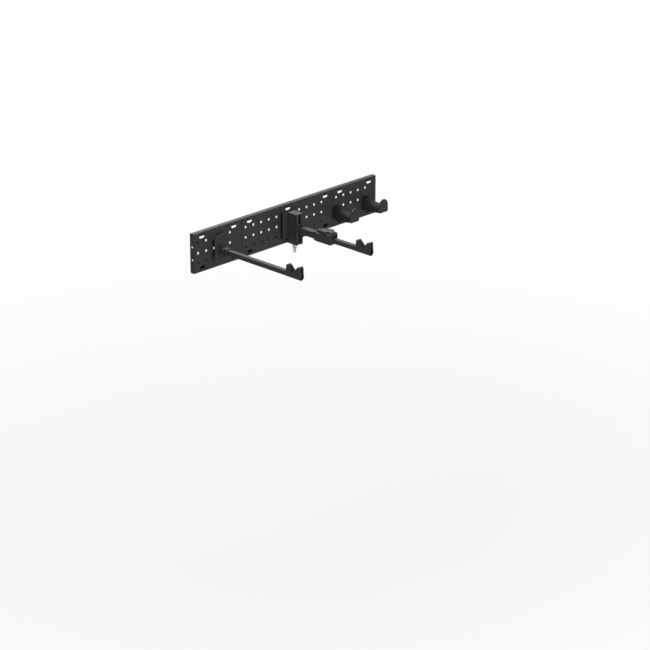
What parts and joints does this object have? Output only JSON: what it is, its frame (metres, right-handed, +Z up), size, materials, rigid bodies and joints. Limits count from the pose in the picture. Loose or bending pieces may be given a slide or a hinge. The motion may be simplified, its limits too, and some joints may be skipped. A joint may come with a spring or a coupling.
{
  "type": "bike wall mount",
  "caption": "Perforated wall rail with a fixed arm, an arm set by spindle and sliding bar, tilting V cradles for a frame tube, and drum hooks for a helmet.",
  "frame": {"origin": "middle of the panel row on the wall plane, the centre of the wall screw pattern", "axes": "+X right along the wall, +Y into the wall, +Z up; the arms point along -Y"},
  "size_m": [0.912, 0.4293, 0.174],
  "materials": {
    "coated_steel": "fine matt powder coat",
    "zinc_plated_steel": "bright zinc",
    "blackened_screws": "black oxide",
    "moulded_plastic": "fine grained moulding",
    "slide_plastic": "smooth acetal",
    "cast_aluminium": "tumbled casting",
    "pad_rubber": "soft matt"
  },
  "bodies": {
    "frame": {"bearing_screws": "zinc_plated_steel", "blanking_plug": "moulded_plastic", "guide_base_lugs": "zinc_plated_steel", "guide_base_plate": "coated_steel", "guide_rail": "coated_steel", "guide_rail_nuts": "zinc_plated_steel", "guide_rail_screws": "zinc_plated_steel", "inner_hook_drum": "moulded_plastic", "inner_hook_end_plate": "moulded_plastic", "inner_hook_screws": "zinc_plated_steel", "left_bar": "coated_steel", "left_bar_end": "zinc_plated_steel", "left_base_lugs": "zinc_plated_steel", "left_base_plate": "coated_steel", "left_cradle_screw": "blackened_screws", "left_cradle_washer": "zinc_plated_steel", "left_socket": "coated_steel", "left_socket_screws": "blackened_screws", "outer_hook_drum": "moulded_plastic", "outer_hook_end_plate": "moulded_plastic", "outer_hook_screws": "zinc_plated_steel", "panel_left": "coated_steel", "panel_link_bolts": "zinc_plated_steel", "panel_link_nuts": "zinc_plated_steel", "panel_middle": "coated_steel", "panel_right": "coated_steel", "spindle_bearing": "slide_plastic"},
    "left_cradle_body": {"left_cradle": "moulded_plastic", "left_cradle_pad": "pad_rubber"},
    "spindle": {"height_spindle": "zinc_plated_steel", "spindle_collar": "zinc_plated_steel", "spindle_retainer": "zinc_plated_steel"},
    "carriage_arm": {"carriage": "cast_aluminium", "carriage_liners": "slide_plastic", "arm_tube": "coated_steel", "arm_tube_screws": "blackened_screws", "lock_housing_left": "moulded_plastic", "lock_housing_right": "moulded_plastic", "lock_housing_screws": "blackened_screws", "slide_bush_front": "slide_plastic", "lever_pin": "zinc_plated_steel"},
    "lever": {"lock_lever": "moulded_plastic"},
    "sliding_bar": {"right_bar": "coated_steel", "right_bar_end": "zinc_plated_steel", "slide_bush_rear": "slide_plastic", "right_cradle_washer": "zinc_plated_steel", "right_cradle_screw": "blackened_screws"},
    "right_cradle_body": {"right_cradle": "moulded_plastic", "right_cradle_pad": "pad_rubber"}
  },
  "joints": [
    {"name": "right_height", "type": "slide", "parent": "frame", "child": "carriage_arm", "axis": [0, 0, 1], "range_m": [-0.027, 0.036]},
    {"name": "spindle_turn", "type": "hinge", "parent": "frame", "child": "spindle", "pos_m": [0, -0.055, 0], "axis": [0, 0, 1], "range_deg": [-4320.01, 3240.01]},
    {"name": "bar_slide", "type": "slide", "parent": "carriage_arm", "child": "sliding_bar", "axis": [0, -1, 0], "range_m": [-0.038, 0.05]},
    {"name": "lever_open", "type": "hinge", "parent": "carriage_arm", "child": "lever", "pos_m": [0, -0.241, 0.0102], "axis": [1, 0, 0], "range_deg": [0, 100]},
    {"name": "left_tilt", "type": "hinge", "parent": "frame", "child": "left_cradle_body", "pos_m": [-0.342, -0.382, -0.0085], "axis": [0, 1, 0], "range_deg": [-20, 20]},
    {"name": "right_tilt", "type": "hinge", "parent": "sliding_bar", "child": "right_cradle_body", "pos_m": [0, -0.382, -0.0085], "axis": [0, 1, 0], "range_deg": [-20, 20]}
  ],
  "couplings": [
    {"joint": "spindle_turn", "follows": "right_height", "rad_per_m": -2094.4}
  ]
}
